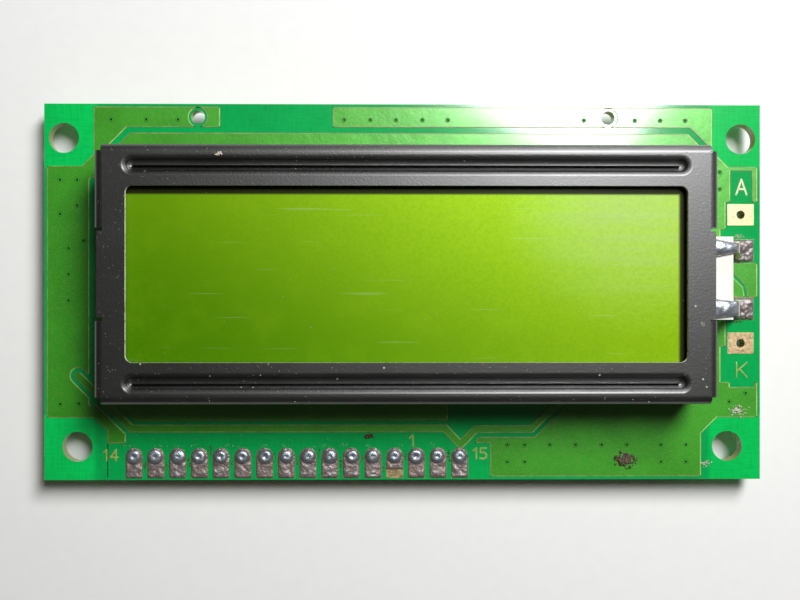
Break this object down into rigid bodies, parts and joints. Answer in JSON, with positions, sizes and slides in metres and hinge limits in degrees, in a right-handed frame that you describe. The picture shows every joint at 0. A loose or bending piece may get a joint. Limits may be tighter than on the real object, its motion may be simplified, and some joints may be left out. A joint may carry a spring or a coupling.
{
  "type": "character display module",
  "caption": "Green circuit board with a black folded steel bezel round a yellow-green liquid crystal display, a row of soldered terminals and side backlight leads.",
  "frame": {"origin": "below the middle of the circuit board, on the plane that the bezel's twisted tabs stand on", "axes": "+Z out of the display's face, +X along the board towards the backlight leads, +Y away from the terminal row"},
  "size_m": [0.084, 0.044, 0.0128],
  "materials": {
    "green_mask": "green solder mask over bare laminate, glossy",
    "mask_over_copper": "green solder mask over copper foil, glossy olive green",
    "gold_plate": "pale gold plating, satin",
    "solder": "tin lead solder, shiny on the domes and dull brown where it was wiped",
    "black_steel": "black semi-gloss paint on folded sheet steel, worn bright at cut edges",
    "front_film": "yellow-green polarizing film, satin, with fine scratches and dust",
    "cell_glass": "clear flat glass",
    "seal_epoxy": "pale translucent epoxy",
    "rear_film": "grey-green transflective film",
    "strip_rubber": "matt layered silicone rubber",
    "diffuser_film": "milky diffusing plastic",
    "white_plastic": "white moulded reflector plastic, satin",
    "white_board": "white coated laminate",
    "clear_resin": "clear yellowish casting resin",
    "tinned_brass": "brass strip, tinned on its faces",
    "black_resin": "black drop resin, satin",
    "silicon": "polished silicon",
    "resistor_body": "black glazed ceramic",
    "capacitor_body": "tan ceramic"
  },
  "bodies": {
    "root": {"wire_hole_pads": "gold_plate", "circuit_board": "green_mask", "top_copper": "mask_over_copper", "bottom_copper": "mask_over_copper", "terminal_pads": "gold_plate", "terminal_solder": "solder", "lead_pads": "gold_plate", "contact_fingers": "gold_plate", "bezel": "black_steel", "front_polarizer": "front_film", "front_glass": "cell_glass", "cell_seal": "seal_epoxy", "rear_glass": "cell_glass", "rear_polarizer": "rear_film", "upper_connector_strip": "strip_rubber", "lower_connector_strip": "strip_rubber", "diffuser": "diffuser_film", "backlight_housing": "white_plastic", "led_board": "white_board", "led_drops": "clear_resin", "anode_lead": "tinned_brass", "cathode_lead": "tinned_brass", "anode_lead_solder": "solder", "cathode_lead_solder": "solder", "controller_drop": "black_resin", "controller_die": "silicon", "driver_drop": "black_resin", "driver_die": "silicon", "bias_resistors": "resistor_body", "bias_resistor_caps": "solder", "timing_resistor": "resistor_body", "timing_resistor_caps": "solder", "capacitors": "capacitor_body", "capacitor_caps": "solder"}
  },
  "joints": []
}
